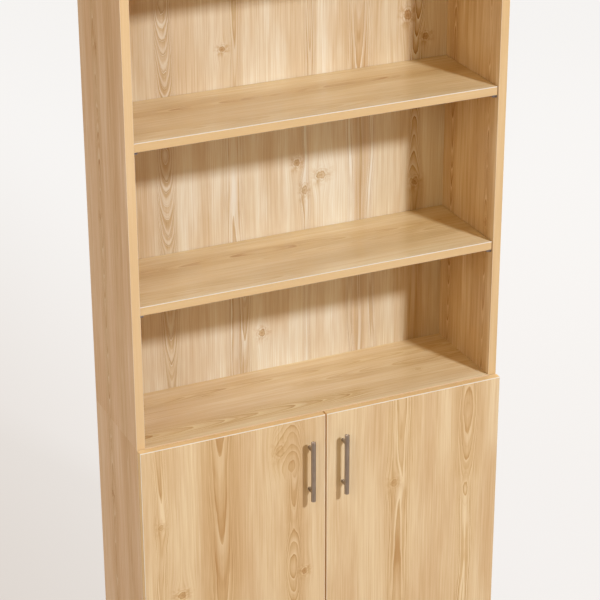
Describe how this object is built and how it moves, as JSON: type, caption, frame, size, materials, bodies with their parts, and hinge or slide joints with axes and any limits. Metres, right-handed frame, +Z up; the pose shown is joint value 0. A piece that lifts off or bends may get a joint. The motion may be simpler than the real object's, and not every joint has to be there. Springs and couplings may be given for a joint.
{
  "type": "bookcase with cabinet doors",
  "caption": "Tall wood-grain bookcase with open shelves on pins above a cabinet closed by hinged doors with bar handles.",
  "frame": {"origin": "on the floor, under the middle of the bookcase with its handles (bottom centre of the box)", "axes": "+Z up; the doors and the open side face -Y; +X to the right seen from the front"},
  "size_m": [0.8, 0.2794, 1.8],
  "materials": {
    "wood": "satin light oak wood-grain melamine board with matching edge band",
    "back_wood": "satin light oak wood-grain foil on thin board",
    "beech": "raw fluted beech",
    "handle_metal": "brushed nickel, slightly brown",
    "hinge_steel": "nickel-plated pressed steel",
    "pin_steel": "nickel-plated turned steel",
    "screw_steel": "zinc-plated",
    "bracket_metal": "white powder coat",
    "bumper_rubber": "clear soft pad",
    "glide_plastic": "moulded"
  },
  "bodies": {
    "carcass": {"bottom_panel": "wood", "cabinet_shelf": "wood", "cabinet_shelf_pin_left_front": "pin_steel", "cabinet_shelf_pin_left_rear": "pin_steel", "cabinet_shelf_pin_right_front": "pin_steel", "cabinet_shelf_pin_right_rear": "pin_steel", "fixed_shelf": "wood", "left_dowel_front": "beech", "left_dowel_rear": "beech", "left_glide_front": "glide_plastic", "left_glide_rear": "glide_plastic", "left_lower_hinge_arm": "hinge_steel", "left_lower_hinge_plate": "hinge_steel", "left_side_lower": "wood", "left_side_upper": "wood", "left_upper_hinge_arm": "hinge_steel", "left_upper_hinge_plate": "hinge_steel", "lower_back": "back_wood", "middle_shelf": "wood", "middle_shelf_pin_left_front": "pin_steel", "middle_shelf_pin_left_rear": "pin_steel", "middle_shelf_pin_right_front": "pin_steel", "middle_shelf_pin_right_rear": "pin_steel", "plinth": "wood", "right_dowel_front": "beech", "right_dowel_rear": "beech", "right_glide_front": "glide_plastic", "right_glide_rear": "glide_plastic", "right_lower_hinge_arm": "hinge_steel", "right_lower_hinge_plate": "hinge_steel", "right_side_lower": "wood", "right_side_upper": "wood", "right_upper_hinge_arm": "hinge_steel", "right_upper_hinge_plate": "hinge_steel", "top_panel": "wood", "upper_back": "back_wood", "upper_shelf": "wood", "upper_shelf_pin_left_front": "pin_steel", "upper_shelf_pin_left_rear": "pin_steel", "upper_shelf_pin_right_front": "pin_steel", "upper_shelf_pin_right_rear": "pin_steel", "wall_bracket": "bracket_metal"},
    "left_door": {"left_door": "wood", "left_door_bumper": "bumper_rubber", "left_handle": "handle_metal", "left_handle_screw_lower": "screw_steel", "left_handle_screw_upper": "screw_steel", "left_lower_hinge_cup": "hinge_steel", "left_lower_hinge_pin": "hinge_steel", "left_upper_hinge_cup": "hinge_steel", "left_upper_hinge_pin": "hinge_steel"},
    "right_door": {"right_door": "wood", "right_door_bumper": "bumper_rubber", "right_handle": "handle_metal", "right_handle_screw_lower": "screw_steel", "right_handle_screw_upper": "screw_steel", "right_lower_hinge_cup": "hinge_steel", "right_lower_hinge_pin": "hinge_steel", "right_upper_hinge_cup": "hinge_steel", "right_upper_hinge_pin": "hinge_steel"}
  },
  "joints": [
    {"name": "left_door_hinge", "type": "hinge", "parent": "carcass", "child": "left_door", "pos_m": [-0.3934, -0.1085, 0.4555], "axis": [0, 0, -1], "range_deg": [0, 95]},
    {"name": "right_door_hinge", "type": "hinge", "parent": "carcass", "child": "right_door", "pos_m": [0.3934, -0.1085, 0.4555], "axis": [0, 0, 1], "range_deg": [0, 95]}
  ]
}
